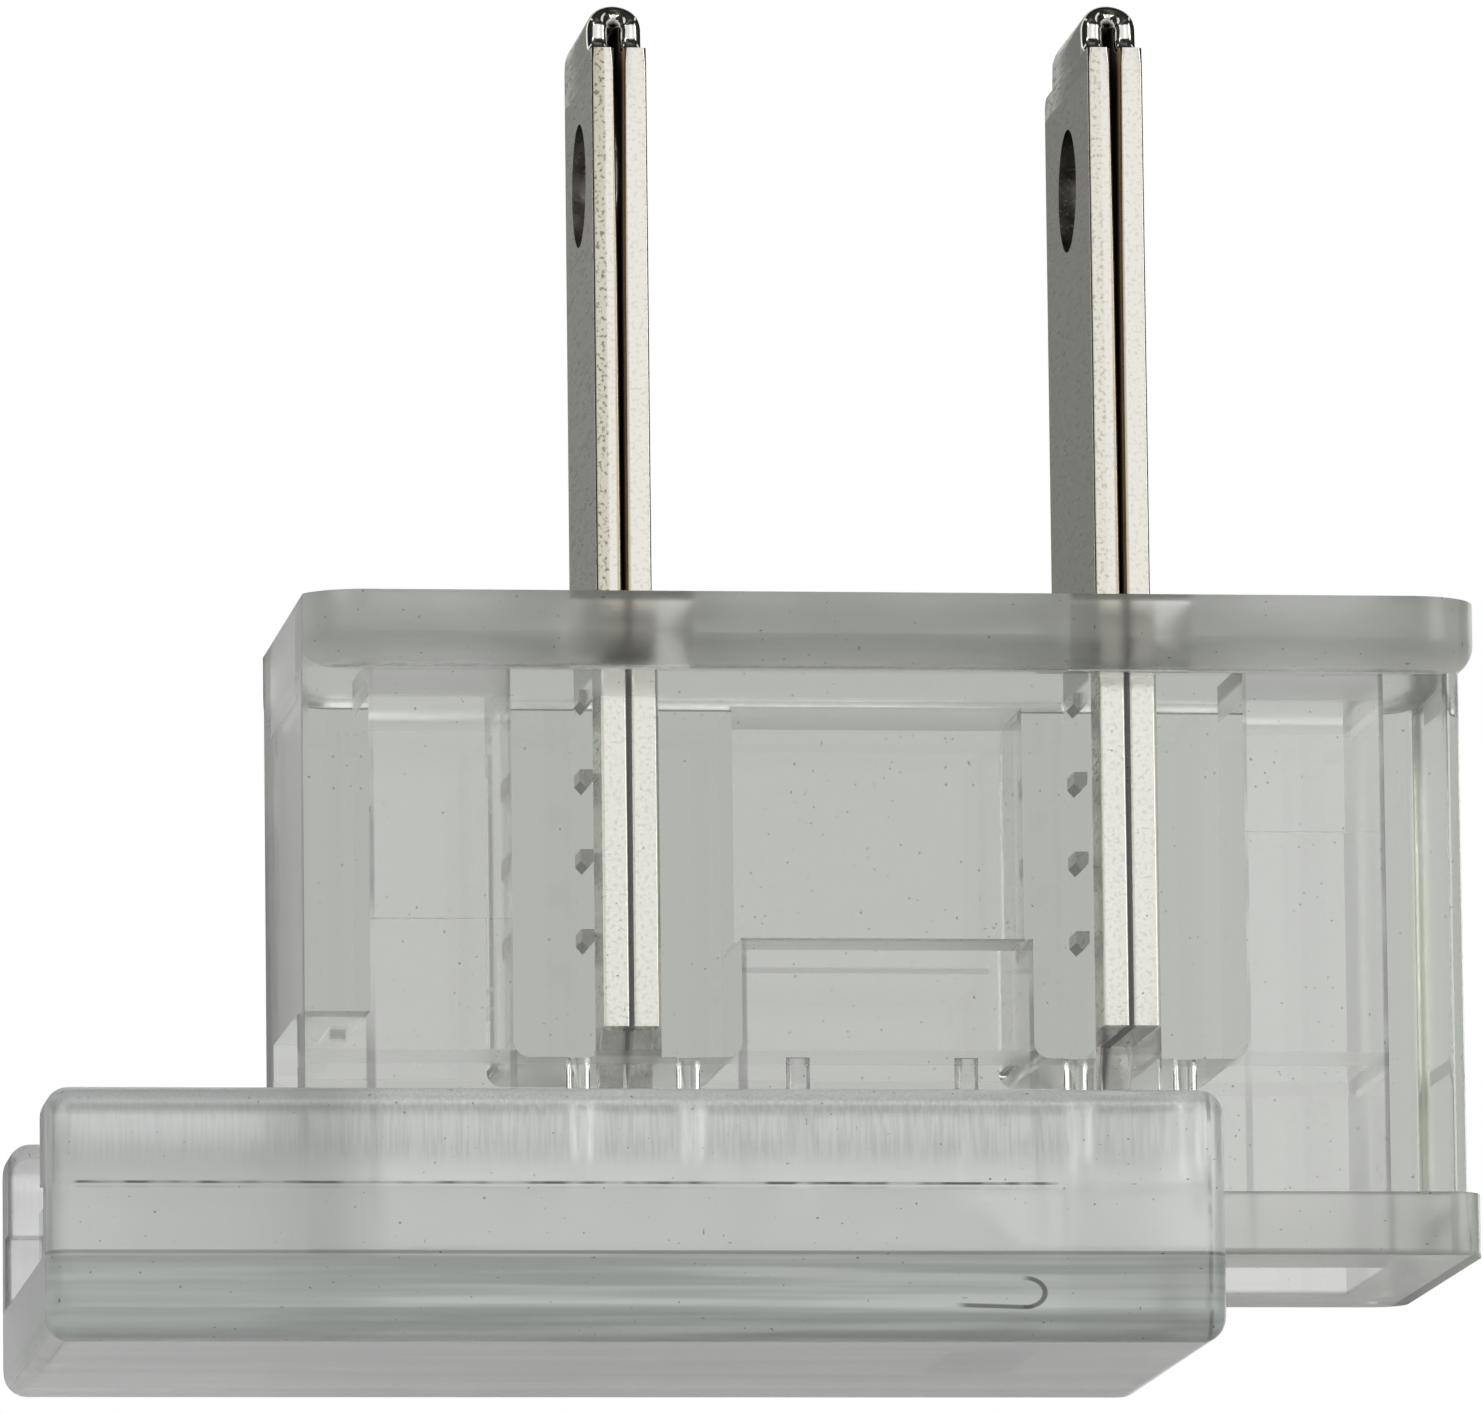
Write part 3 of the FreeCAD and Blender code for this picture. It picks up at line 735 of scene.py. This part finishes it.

# %% [markdown]
# ## The body
# The block is polished, but its flange and rails are frosted by use. Dust specks, and dark lines along the
# corners of its hollows and along the rails, would be thousands of pieces if modelled, so a noise thins a dark
# colour over the skin and along the lines where the walls meet. The places of these lines are the places of
# the walls in the solid. The flange is lighter towards its right end as a painted highlight and darker low
# down as painted shade, and the blade sockets are darkened as painted shade.

# %% Body plastic
BODY_CLEARNESS, BODY_INSIDE, BODY_DENSITY = 1.0, (0.84, 0.86, 0.82, 1), 100
# The front and back greys, with the flange's back grey, are painted shade: they stand in for darker
# surroundings seen through the clear plastic.
BODY_FRONT_GREY, BODY_BACK_GREY = (0.66, 0.665, 0.65, 1), (0.335, 0.34, 0.325, 1)
# The pale flange colour is both its light mottle and a painted highlight towards the right end; the low flange
# grey is painted shade on its rounded lower part.
FLANGE_HAZE, FLANGE_PALE_AND_HIGHLIGHT = (0.80, 0.805, 0.78, 1), (1.0, 1.0, 0.98, 1)
FLANGE_LOW_SHADE, FLANGE_BACK_GREY = (0.62, 0.625, 0.605, 1), (0.42, 0.425, 0.41, 1)
END_GREY, UNDER_GREY = (0.46, 0.465, 0.44, 1), (0.28, 0.285, 0.265, 1)
# Painted shade in the blade sockets.
SOCKET_SHADE = (0.20, 0.195, 0.17, 1)
BLOCK_SKIN = 5.225 * MM
SHIELD_TOP, SHIELD_END = -12.75 * MM, 8.1 * MM
FLANGE_UNDERSIDE = -1.85 * MM
END_HOLLOW_OUTER, END_HOLLOW_INNER = 13.0 * MM, 9.38 * MM
MIDDLE_HOLLOW, MIDDLE_HOLLOW_HALF = 0.175 * MM, 3.725 * MM
HOLLOW_FRONT, HOLLOW_SKIN, HOLLOW_ROOF = -3.3 * MM, 3.45 * MM, -2.375 * MM
LEDGE_LEVEL, LEDGE_HALF = -8.5 * MM, 3.7 * MM
BOSS_UNDERSIDE = -11.55 * MM


def body_skin(place):
    """Polished block with a frosted flange and rails, dust specks, dark lines along the corners of its
    hollows, and painted shade and highlight on the flange and at the blade sockets.
    """
    x, y, z = axes_of(place)
    # Painted shade: the skin is tinted grey everywhere except where the cover shields it.
    tinted_skin_area = 1 - below(z, SHIELD_TOP, 0.15 * MM) * below(x, SHIELD_END, 0.3 * MM)
    front = tinted_skin_area * below(y, -BLOCK_SKIN, 0.075 * MM)
    behind = tinted_skin_area * above(y, BLOCK_SKIN, 0.075 * MM) * (1 - 0.17 * above(x, 8 * MM, 4 * MM))
    in_flange = above(z, FLANGE_UNDERSIDE, 0.10 * MM)
    cloudy = noise(place, 330, 1)
    tint = greyed(front, behind, BODY_FRONT_GREY, BODY_BACK_GREY)
    # The flange is mottled by a noise and grows lighter towards its right end as a painted highlight; its
    # lower part is darker as painted shade.
    flange_mottle_and_light = mix_colour(step_up(cloudy + 12 * x, 0.25, 0.80), FLANGE_HAZE, FLANGE_PALE_AND_HIGHLIGHT)
    flange_mottle_and_light = mix_colour(above(z, -1.15 * MM, 0.35 * MM), FLANGE_LOW_SHADE, flange_mottle_and_light)
    tint = mix_colour(in_flange * front, tint, flange_mottle_and_light)
    tint = mix_colour(in_flange * behind, tint, FLANGE_BACK_GREY)
    under = below(z, body_low.z + 0.075 * MM, 0.075 * MM)
    tint = mix_colour(0.5 * above(x, -body_low.x - 0.125 * MM, 0.075 * MM), tint, END_GREY)
    tint = mix_colour(under, tint, UNDER_GREY)
    # Painted shade: the recesses round the blades at the top of the flange and the foot of the blade slots are
    # darkened where shade falls.
    at_blade = below(abs(abs(x) - BLADE_OFFSET), 1.56 * MM, 0.06 * MM)
    recess = between(z, -1.0 * MM, -0.06 * MM, 0.04 * MM) * below(abs(y), 5.1 * MM, 0.1 * MM)
    slot = between(z, BOSS_UNDERSIDE + 0.03 * MM, -10.8 * MM, 0.04 * MM) * below(abs(y), 4.3 * MM, 0.1 * MM)
    tint = mix_colour(at_blade * (0.8 * recess + 0.55 * slot), tint, SOCKET_SHADE)

    # Dark lines along the corners of the hollows, the ledge and the foot of the rail, thinned by a noise.
    corner = band(abs(x), END_HOLLOW_OUTER, 0.16 * MM) + 0.6 * band(abs(x), END_HOLLOW_INNER, 0.12 * MM)
    corner = corner + band(abs(x - MIDDLE_HOLLOW), MIDDLE_HOLLOW_HALF, 0.16 * MM)
    corner = corner * band(y, HOLLOW_FRONT, 0.16 * MM)
    hollow = below(abs(y), HOLLOW_SKIN, 0.05 * MM)
    ledge = hollow * band(z, LEDGE_LEVEL, 0.10 * MM) * below(abs(x), LEDGE_HALF, 0.1 * MM)
    rail = below(y, body_low.y + 0.15 * MM, 0.05 * MM) * (1 - in_flange)
    rail_foot = rail * band(z, body_low.z + 0.08 * MM, 0.10 * MM)
    specks_and_lines = 0.7 * flecks(place, 8500) + 0.75 * corner * step_up(cloudy, 0.30, 0.55) + 0.3 * ledge
    specks_and_lines = specks_and_lines + 0.6 * rail_foot * step_up(cloudy, 0.40, 0.60)

    roof = hollow * above(z, HOLLOW_ROOF, 0.075 * MM)
    boss_foot = hollow * between(z, BOSS_UNDERSIDE - 0.2 * MM, BOSS_UNDERSIDE + 0.2 * MM, 0.05 * MM)
    ends = above(abs(x), -body_low.x - 0.15 * MM, 0.05 * MM)
    roughness = 0.32 * in_flange + 0.30 * (roof + boss_foot + rail) + 0.35 * ledge
    roughness = roughness + 0.2 * (ends + under) * (1 - in_flange)
    return marked_dark(specks_and_lines, tint), roughness, None


polished = clear_plastic("body_plastic", body_skin, BODY_CLEARNESS, BODY_INSIDE, BODY_DENSITY)
body.material_slots[0].material = polished

# %% [markdown]
# ## The cover
# The cover is milkier than the body. Its upper edge is finely streaked, its lower part shows lines along the
# slide, and the inner steps show as thin dark lines, with one scuff near the right end. These could be cut
# as grooves, but they are finer than a hair, so stretched noises and narrow bands tint the skin instead.

# %% Cover plastic
COVER_CLEARNESS, COVER_INSIDE, COVER_DENSITY = 0.76, (0.78, 0.81, 0.79, 1), 100
# The front and back greys are painted shade that stands in for darker surroundings seen through the clear
# plastic.
COVER_FRONT_GREY, COVER_BACK_GREY = (0.97, 0.985, 0.97, 1), (0.44, 0.455, 0.445, 1)
DRAWN_OUT_GREY, STREAK_GREY = (0.57, 0.58, 0.57, 1), (0.42, 0.435, 0.425, 1)
DRAWN_GREY, RIGHT_GREY = (0.50, 0.53, 0.515, 1), (0.45, 0.46, 0.455, 1)
DRAWN_STRETCH, DRAWN_SCALE = (40, 6, 1), 4200
STREAK_STRETCH, STREAK_SCALE = (1, 1, 14), 13000
COVER_SKIN = 0.8 * MM
BODY_END_BEHIND = -13.6 * MM
SEAM_LEVEL, SEAM_START, SEAM_END = -15.18 * MM, -20.8 * MM, 3.9 * MM
COVER_FLOOR = -16.92 * MM
SCUFF_X, SCUFF_Z, SCUFF_RADIUS, SCUFF_FLATNESS = 3.05 * MM, -17.925 * MM, 0.48 * MM, 0.75
SCUFF_TAIL_START, SCUFF_TAIL_LEVEL = 1.4 * MM, -18.20 * MM


def scuff_mark(place, x, z):
    """A hook: the right half of a flattened ring, with a nearly level tail to the left of its foot."""
    flat_place = stretched(place, (1, 1000, SCUFF_FLATNESS))
    from_middle = place.node("ShaderNodeVectorMath", {"operation": "DISTANCE"}, {
        0: flat_place, 1: (SCUFF_X, 0, SCUFF_Z / SCUFF_FLATNESS),
    }, "Value")
    hook = band(from_middle, SCUFF_RADIUS, 0.09 * MM) * above(x, SCUFF_X, 0.15 * MM)
    tail = band(z + 0.03 * x, SCUFF_TAIL_LEVEL, 0.07 * MM)
    return hook + tail * between(x, SCUFF_TAIL_START, SCUFF_X + 0.05 * MM, 0.2 * MM)


def cover_skin(place):
    """Milky moulding with a streaked upper edge, lines drawn along the slide, thin dark lines at the steps and
    a scuff.
    """
    x, y, z = axes_of(place)
    front = below(y, cover_low.y + COVER_SKIN, 0.1 * MM)
    behind = above(y, cover_high.y - COVER_SKIN, 0.1 * MM)
    walls = front + behind
    drawn = noise(stretched(place, DRAWN_STRETCH), DRAWN_SCALE, 1)
    streaks = noise(stretched(place, STREAK_STRETCH), STREAK_SCALE, 1)
    broken = noise(place, 1300, 1)
    inner = above(x, BODY_END_BEHIND, 1 * MM)
    tint = greyed(front, behind, COVER_FRONT_GREY, COVER_BACK_GREY)
    above_seam = 0.72 + 0.28 * above(z, SEAM_LEVEL, 0.075 * MM)
    tint = mix_colour((1 - inner) * walls * above_seam, tint, DRAWN_OUT_GREY)
    upper = above(z, -14.725 * MM, 0.525 * MM) * walls
    streaked = 0.28 + 0.42 * step_up(streaks, 0.30, 0.70) * above(z, -14.65 * MM, 0.45 * MM)
    tint = mix_colour(upper * streaked * (1 - 0.3 * inner), tint, STREAK_GREY)
    skin = walls.math("MAXIMUM", walls, 0.45 * below(z, cover_low.z + 0.35 * MM, 0.15 * MM))
    lower = below(z, COVER_FLOOR, 0.06 * MM) * skin
    tint = mix_colour(lower * (0.30 + 0.65 * step_up(drawn, 0.36, 0.66)), tint, DRAWN_GREY)
    at_end = below(x, cover_low.x + 0.125 * MM, 0.075 * MM)
    tint = mix_colour(0.95 * at_end * above(z, COVER_FLOOR + 0.02 * MM, 0.1 * MM), tint, STREAK_GREY)
    tint = mix_colour(0.25 * above(x, 4.1 * MM, 0.5 * MM) * front, tint, RIGHT_GREY)

    # Thin dark lines at the levels of the inner steps and near the right end, broken by a noise.
    lip_seam = band(z, SEAM_LEVEL, 0.045 * MM) + 0.2 * band(z, SEAM_LEVEL - 0.12 * MM, 0.045 * MM)
    lip_seam = lip_seam * between(x, SEAM_START, SEAM_END, 0.1 * MM)
    lip_seam = lip_seam * (0.4 + 0.6 * step_up(broken, 0.35, 0.60))
    floor_seam = 0.6 * band(z, COVER_FLOOR, 0.06 * MM)
    end_seam = 0.5 * band(x, cover_high.x - 0.45 * MM, 0.07 * MM) * step_up(broken, 0.40, 0.58)
    marks = lip_seam + floor_seam + end_seam + 0.9 * scuff_mark(place, x, z)
    specks_and_lines = 0.7 * flecks(place, 8000) + front * marks
    return marked_dark(specks_and_lines, tint), 0.28 * skin + 0.3 * at_end, lower * drawn


milky = clear_plastic("cover_plastic", cover_skin, COVER_CLEARNESS, COVER_INSIDE, COVER_DENSITY)
cover.material_slots[0].material = milky

# %% [markdown]
# ## Light through plastic
# A view through the plug crosses many surfaces, so light paths need more bounces than usual, or the plastic
# turns black where it is folded over itself.

# %% Light paths
scene.cycles.max_bounces = 12
scene.cycles.transmission_bounces = 12
scene.cycles.glossy_bounces = 8
scene.cycles.diffuse_bounces = 2
scene.view_settings.view_transform = "Standard"
